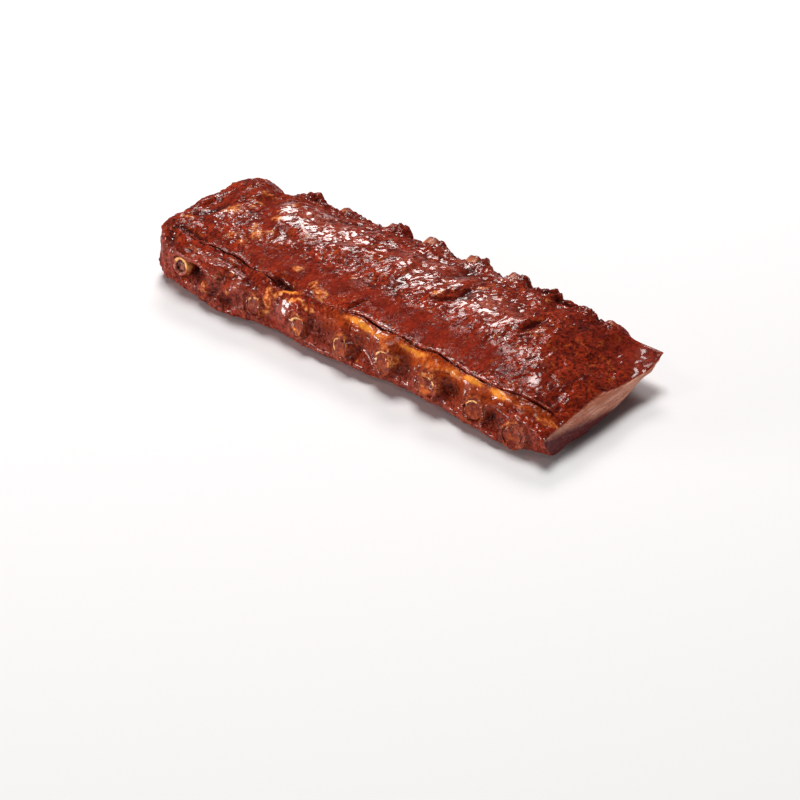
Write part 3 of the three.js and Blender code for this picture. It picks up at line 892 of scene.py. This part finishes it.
boneLook = {
    "levels": 2, "crease": 0.8, "creaseFrom": 55,             # degrees
    "lumps": 0.3, "ragged": 0.8, "raggedFrom": (-14, -9),      # mm; towards the back end
    "cutLumps": 0.8, "cutRough": 0.5, "cutSink": 0.35,
    "rimFrom": 0.7, "coreTo": 0.8,                            # shares of the bone's half width
    "firstRimFrom": 0.66, "firstCoreTo": 0.62,                # the same for the first rib, which is bare
}
marrowLook = {"levels": 2, "crease": 1.0}


def subdividedCopy(nodeName, name, look):
    shape = mergedCopy(nodeName)
    layer = shape.edges.layers.float.new("crease_edge")
    for edge in shape.edges:
        if len(edge.link_faces) == 2 and edge.calc_face_angle() > math.radians(boneLook["creaseFrom"]):
            edge[layer] = look["crease"]
    piece = objectFrom(shape, name)
    finer = piece.modifiers.new("finer", "SUBSURF")
    finer.levels = finer.render_levels = look["levels"]
    return applied(piece)


def faceRelief(place):
    # The rough cut ends of bone and marrow share one relief, so that it runs on from one to the other.
    coarse = cloud(place, (2.4, 2.4, 2.4), 3.3) * boneLook["cutLumps"]
    return coarse + cloud(place, (1.1, 1.1, 1.1), 5.1) * boneLook["cutRough"] - boneLook["cutSink"]


def makeBone(rib, material):
    number = rib["number"]
    piece = subdividedCopy(f"rib_bone_{number}", f"ribBone{number}", boneLook)
    mesh = piece.data
    place, normal = placesOf(mesh), valuesOf(mesh, "normal")
    x, y, z = place.T
    axisX, axisZ = axisOf(rib, y)
    away = np.hypot((x - axisX) / rib["halfWide"], (z - axisZ) / rib["halfHigh"])
    outside = smoothStep(away, 0.8, 0.98)
    endFace = smoothStep(np.abs(normal[:, 1]), 0.5, 0.85)
    lumps = cloud(place, (5, 9, 5), 2.3 + number) * boneLook["lumps"]
    ragged = cloud(place, (2.6, 2.6, 2.6), 8.8) * boneLook["ragged"]
    ragged *= smoothStep(y - rib["back"][1], *boneLook["raggedFrom"])
    faceRough = endFace * (1 - smoothStep(away, 0.76, 0.95)) * faceRelief(place)
    moved = place + normal * (outside * (lumps + ragged) + faceRough)[:, None]
    limitToSolid(moved)
    setPlaces(mesh, moved)

    # The golden arc of the rim, the dark core and the stretches that are bare of glaze.
    frayed = cloud(place, (2.6, 2.6, 2.6), 9.4 + number)
    arc = np.zeros(len(place))
    if number != coveredRib:
        arc = onArc(rib, x - axisX, z - axisZ, frayed)
    rimFrom, coreTo = boneLook["firstRimFrom"], boneLook["firstCoreTo"]
    if number in knobs:
        rimFrom, coreTo = boneLook["rimFrom"], boneLook["coreTo"]
    fromFront, fromBack = y - rib["front"][1], rib["back"][1] - y
    nearFace = 1 - smoothStep(fromFront, 0.6, 1.8)
    bare = smoothStep(fromBack + 1.2 * frayed, 3.2, 4.4)
    bare *= 1 - smoothStep((x - axisX) / rib["halfWide"] + 0.3 * frayed, 0.35, 0.75)
    writeAttributes(
        mesh, rim=arc * smoothStep(away + 0.1 * frayed, rimFrom, rimFrom + 0.12) * nearFace,
        shaft=smoothStep(fromFront, 1.6, 3.6) * outside,
        bare=np.maximum(0.7 * bare, 1 - smoothStep(y, -40, 0)),
        core=1 - smoothStep(away + 0.15 * frayed, coreTo, coreTo + 0.2))
    smoothShaded(piece, material)
    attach(piece, "root")
    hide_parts(f"rib_bone_{rib['number']}")


def makeMarrow(rib, material):
    piece = subdividedCopy(f"marrow_{rib['number']}", f"marrow{rib['number']}", marrowLook)
    mesh = piece.data
    place, normal = placesOf(mesh), valuesOf(mesh, "normal")
    endFace = smoothStep(np.abs(normal[:, 1]), 0.4, 0.8)
    moved = place + normal * (endFace * faceRelief(place))[:, None]
    limitToSolid(moved)
    setPlaces(mesh, moved)
    smoothShaded(piece, material)
    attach(piece, "root")
    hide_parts(f"marrow_{rib['number']}")


class Recipe:
    # Short calls that add shader nodes to one material.
    def __init__(self, name):
        self.material = bpy.data.materials.new(name)
        self.material.use_nodes = True
        self.nodes = self.material.node_tree.nodes
        self.links = self.material.node_tree.links
        self.surface = self.nodes["Principled BSDF"]
        self.space = self.nodes.new("ShaderNodeTexCoord").outputs["Object"]

    def join(self, source, socket):
        if hasattr(source, "links"):
            self.links.new(source, socket)
        else:
            socket.default_value = source

    def attributes(self, *names):
        found = [self.nodes.new("ShaderNodeAttribute") for _ in names]
        for node, name in zip(found, names):
            node.attribute_name = name
        return [node.outputs["Fac"] for node in found]

    def noise(self, size, detail=3.0, roughness=0.5, stretch=(1, 1, 1), shift=(0, 0, 0)):
        # The size is in millimetres, and the shift in metres.
        mapping = self.nodes.new("ShaderNodeMapping")
        setInputs(mapping, Scale=stretch, Location=shift)
        self.links.new(self.space, mapping.inputs["Vector"])
        node = self.nodes.new("ShaderNodeTexNoise")
        setInputs(node, Scale=1 / (size * mm), Detail=detail, Roughness=roughness)
        self.links.new(mapping.outputs["Vector"], node.inputs["Vector"])
        return node.outputs["Fac"]

    def ramp(self, value, low, high, toLow=0.0, toHigh=1.0):
        node = self.nodes.new("ShaderNodeMapRange")
        node.interpolation_type = "SMOOTHSTEP"
        self.join(value, node.inputs["Value"])
        setInputs(node, From_Min=low, From_Max=high, To_Min=toLow, To_Max=toHigh)
        return node.outputs["Result"]

    def math(self, kind, first, second):
        node = self.nodes.new("ShaderNodeMath")
        node.operation = kind
        node.use_clamp = kind == "ADD"
        self.join(first, node.inputs[0])
        self.join(second, node.inputs[1])
        return node.outputs["Value"]

    def times(self, first, *others):
        for other in others:
            first = self.math("MULTIPLY", first, other)
        return first

    def blend(self, factor, first, second):
        node = self.nodes.new("ShaderNodeMix")
        node.data_type = "RGBA"
        self.join(factor, node.inputs["Factor"])
        self.join(first if hasattr(first, "links") else (*first, 1), node.inputs["A"])
        self.join(second if hasattr(second, "links") else (*second, 1), node.inputs["B"])
        return next(socket for socket in node.outputs if socket.type == "RGBA")

    def bump(self, height, strength, distance, before=None):
        node = self.nodes.new("ShaderNodeBump")
        setInputs(node, Strength=strength, Distance=distance * mm)
        self.links.new(height, node.inputs["Height"])
        if before is not None:
            self.links.new(before, node.inputs["Normal"])
        return node.outputs["Normal"]

    def finish(self, colour, roughness, normal, **constants):
        self.join(colour, self.surface.inputs["Base Color"])
        self.join(roughness, self.surface.inputs["Roughness"])
        self.links.new(normal, self.surface.inputs["Normal"])
        setInputs(self.surface, **constants)
        return self.material


meatColours = {
    "deep": (0.115, 0.007, 0.003),
    "main": (0.34, 0.028, 0.007),
    "warm": (0.46, 0.085, 0.017),
    "pit": (0.045, 0.003, 0.002),
    "fat": (0.48, 0.085, 0.012),
    "paleFat": (0.78, 0.265, 0.032),
    "calm": (0.17, 0.011, 0.004),
    "creamFat": (0.76, 0.30, 0.10),
    "amber": (0.34, 0.044, 0.005),
    "wall": (0.37, 0.066, 0.040),
    "fibre": (0.13, 0.018, 0.014),
    "knob": (0.40, 0.078, 0.026),
    "knobDark": (0.15, 0.020, 0.013),
    "cut": (0.56, 0.19, 0.115),
    "cutPale": (0.78, 0.38, 0.27),
    "cutPaintedShadow": (0.13, 0.022, 0.022),
    "silverSkinAndSheen": (0.56, 0.20, 0.15),
    # Painted shade for hollows, cracks and sinks.
    "paintedShadeColour": (0.03, 0.004, 0.004),
}

meatFinish = {
    # How much of each colour is laid on.
    "fine": 0.75, "flecks": 0.75, "calm": 0.65, "fibres": 0.75, "strip": 0.9, "silverSkinAndSheen": 0.6, "char": 0.45,
    "knob": 0.8, "dark": 0.9,
    # The gloss comes in patches and clusters of patches, with small sparks between. Sizes in mm.
    "patchSize": 4.5, "clusterSize": 13, "sparkSize": 1.1, "sparks": 0.9,
    "coatRoughness": 0.13, "specular": 0.05,
    "grainSize": 1.3, "grainDepth": 1.4, "fineGrainSize": 0.75, "fineGrainDepth": 0.5,
}


def glazeColour(recipe, patches):
    # The glaze: dark clouds, light flecks, fibres on the wall, an orange strip, pits, and a pale pink layer
    # where the glaze shines most, partly the silvery skin and partly a painted sheen.
    colours, amounts = meatColours, meatFinish
    blend, ramp, times, spots = recipe.blend, recipe.ramp, recipe.times, recipe.noise
    wall, calm, strip, shine, char = recipe.attributes("wall", "calm", "strip", "shine", "char")
    broad = ramp(spots(9, 3, 0.6), 0.36, 0.62)
    fine = ramp(spots(2.2, 4, 0.65, (1, 0.6, 1)), 0.35, 0.7)
    flecks = ramp(spots(4.2, 3, 0.55, (1, 0.7, 1), (0.3, 0.1, 0)), 0.56, 0.7)
    colour = blend(broad, colours["deep"], colours["main"])
    colour = blend(times(fine, amounts["fine"]), colour, colours["main"])
    colour = blend(times(flecks, amounts["flecks"]), colour, colours["warm"])
    colour = blend(times(calm, amounts["calm"]), colour, colours["calm"])
    membrane = ramp(spots(11, 2, 0.5, (1, 0.5, 0.8), (0.02, 0, 0)), 0.36, 0.56, 0.15, 0.7)
    colour = blend(times(wall, membrane), colour, colours["wall"])
    fibres = ramp(spots(1.5, 3, 0.6, (1, 1, 0.22)), 0.48, 0.66, 0, amounts["fibres"])
    colour = blend(times(wall, fibres), colour, colours["fibre"])
    colour = blend(times(strip, amounts["strip"]), colour, colours["amber"])
    pits = ramp(spots(1.7, 5, 0.7, (1, 0.75, 1)), 0.55, 0.39)
    pits = times(pits, ramp(calm, 0, 0.8, 0.85, 0.55), ramp(shine, 0.3, 0.9, 1, 0.55))
    colour = blend(pits, colour, colours["pit"])
    # Partly the silvery skin, partly a painted sheen: pale pink laid where the coat shines most.
    silverSkinAndSheen = spots(1.4, 4, 0.65, (1, 0.7, 1), (0.1, 0, 0))
    silverSkinAndSheen = ramp(silverSkinAndSheen, 0.42, 0.6, 0, amounts["silverSkinAndSheen"])
    silverSkinAndSheen = times(silverSkinAndSheen, ramp(shine, 0.55, 0.95), patches)
    colour = blend(silverSkinAndSheen, colour, colours["silverSkinAndSheen"])
    return blend(times(char, amounts["char"]), colour, colours["deep"])


def cutColour(recipe):
    # Pale layers that run along the bones, with a painted shadow that darkens the face towards the floor and
    # the front.
    low, = recipe.attributes("low")
    layers = recipe.ramp(recipe.noise(2.0, 3, 0.55, (1, 0.12, 1)), 0.4, 0.66)
    colour = recipe.blend(layers, meatColours["cut"], meatColours["cutPale"])
    return recipe.blend(low, colour, meatColours["cutPaintedShadow"])


def fatLayer(recipe, colour):
    # Melted fat, amber or cream by patches, and pale where it lies thick.
    colours, patch = meatColours, recipe.noise(2.3, 4, 0.6)
    fat, pale, strip = recipe.attributes("fat", "pale", "strip")
    mask = recipe.ramp(recipe.times(fat, recipe.ramp(patch, 0.32, 0.62, 0.5, 1.3)), 0.25, 0.85)
    creamy = recipe.times(recipe.ramp(patch, 0.46, 0.64), recipe.ramp(strip, 0, 1, 1, 0.3))
    thick = recipe.ramp(recipe.times(pale, recipe.ramp(patch, 0.3, 0.65, 0.75, 1.25)), 0.4, 1.1)
    fatColour = recipe.blend(creamy, colours["fat"], colours["creamFat"])
    fatColour = recipe.blend(thick, fatColour, colours["paleFat"])
    mask = recipe.math("MAXIMUM", mask, recipe.ramp(pale, 0.3, 0.75))
    return recipe.blend(mask, colour, fatColour)


def glazedMeatMaterial():
    recipe = Recipe("glazedMeat")
    colours, finish = meatColours, meatFinish
    calm, shine, cut, knob, dark = recipe.attributes("calm", "shine", "cut", "knob", "dark")
    patches = recipe.ramp(recipe.noise(finish["patchSize"], 4, 0.6), 0.34, 0.56, 0.2, 1.0)
    clusters = recipe.ramp(recipe.noise(finish["clusterSize"], 2), 0.38, 0.56, 0.5, 1.35)
    patches = recipe.times(patches, clusters)

    colour = recipe.blend(cut, glazeColour(recipe, patches), cutColour(recipe))
    mottled = recipe.ramp(recipe.noise(2.6, 4, 0.65), 0.4, 0.66)
    knobColour = recipe.blend(mottled, colours["knobDark"], colours["knob"])
    colour = recipe.blend(recipe.times(knob, finish["knob"]), colour, knobColour)
    colour = fatLayer(recipe, colour)
    # Painted shade in the hollows, cracks and sinks.
    colour = recipe.blend(recipe.times(dark, finish["dark"]), colour, colours["paintedShadeColour"])

    lively = recipe.ramp(calm, 0, 1, 1.0, 0.4)
    grain = recipe.times(recipe.noise(finish["grainSize"], 2.5, 0.55, (1, 0.75, 1)), lively)
    fineGrain = recipe.times(recipe.noise(finish["fineGrainSize"], 1.5, 0.5), lively)
    normal = recipe.bump(grain, 1.0, finish["grainDepth"])
    normal = recipe.bump(fineGrain, 1.0, finish["fineGrainDepth"], normal)
    roughness = recipe.ramp(recipe.noise(3.3, 3), 0.3, 0.75, 0.75, 0.95)
    sparks = recipe.noise(finish["sparkSize"], 2, 0.5, (1, 1, 1), (0.2, 0, 0))
    sparks = recipe.ramp(sparks, 0.58, 0.65, 0, finish["sparks"])
    sparks = recipe.times(sparks, recipe.ramp(calm, 0, 0.7, 1, 0.15))
    coat = recipe.math("ADD", recipe.times(patches, shine), sparks)
    recipe.join(coat, recipe.surface.inputs["Coat Weight"])
    return recipe.finish(
        colour, roughness, normal,
        Coat_Roughness=finish["coatRoughness"], Specular_IOR_Level=finish["specular"])


boneColours = {
    "brown": (0.40, 0.065, 0.016), "tan": (0.52, 0.15, 0.04), "shaft": (0.80, 0.29, 0.075),
    "rim": (0.98, 0.52, 0.17), "glaze": (0.19, 0.018, 0.008),
}

marrowColours = {"meat": (0.16, 0.024, 0.013), "pale": (0.38, 0.08, 0.028), "pore": (0.05, 0.007, 0.006)}

# Bone and marrow share their thin glaze.
boneFinish = {"Coat_Weight": 0.3, "Coat_Roughness": 0.2, "Specular_IOR_Level": 0.1}


def marrowColour(recipe):
    colours = marrowColours
    clouds = recipe.ramp(recipe.noise(2.4, 4, 0.65), 0.42, 0.64)
    colour = recipe.blend(clouds, colours["meat"], colours["pale"])
    pores = recipe.ramp(recipe.noise(1.5, 4, 0.7, (1, 1, 1), (0.4, 0, 0.1)), 0.42, 0.56)
    return recipe.blend(pores, colours["pore"], colour)


def porousNormal(recipe):
    return recipe.bump(recipe.noise(0.9, 4, 0.65), 0.7, 0.5)


def boneMaterial():
    recipe = Recipe("ribBone")
    colours = boneColours
    shaft, bare, core, rim = recipe.attributes("shaft", "bare", "core", "rim")
    patches = recipe.ramp(recipe.noise(3.2, 3, 0.6), 0.38, 0.66)
    colour = recipe.blend(patches, colours["brown"], colours["glaze"])
    streaks = recipe.ramp(recipe.noise(4, 3, 0.6, (1, 0.3, 1)), 0.4, 0.75)
    tan = recipe.blend(streaks, colours["tan"], colours["brown"])
    tan = recipe.blend(recipe.ramp(bare, 0.75, 1), tan, colours["shaft"])
    tan = recipe.blend(recipe.ramp(bare, 0, 0.7), colours["glaze"], tan)
    colour = recipe.blend(shaft, colour, tan)
    colour = recipe.blend(core, colour, marrowColour(recipe))
    colour = recipe.blend(rim, colour, colours["rim"])
    roughness = recipe.ramp(recipe.noise(2.6), 0.3, 0.7, 0.4, 0.6)
    return recipe.finish(colour, roughness, porousNormal(recipe), **boneFinish)


def marrowMaterial():
    recipe = Recipe("marrow")
    return recipe.finish(marrowColour(recipe), 0.55, porousNormal(recipe), **boneFinish)


floorSize = 6  # m, half its side
floorLook = {"Base_Color": (0.82, 0.825, 0.835, 1), "Roughness": 0.75, "Specular_IOR_Level": 0.2}


def makeFloor():
    shape = bmesh.new()
    bmesh.ops.create_grid(shape, x_segments=1, y_segments=1, size=floorSize)
    floor = objectFrom(shape, "floor")
    recipe = Recipe("paleFloor")
    setInputs(recipe.surface, **floorLook)
    floor.data.materials.append(recipe.material)
    print("floor laid")


makeCamera()
makeLights()
makeFloor()

meat = makeMeatBody()
shapeMeat(meat)
smoothShaded(meat, glazedMeatMaterial())
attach(meat, "root")
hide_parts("meat")

ribBone, marrow = boneMaterial(), marrowMaterial()
for rib in ribs:
    makeBone(rib, ribBone)
    makeMarrow(rib, marrow)
print("bones and marrow made")
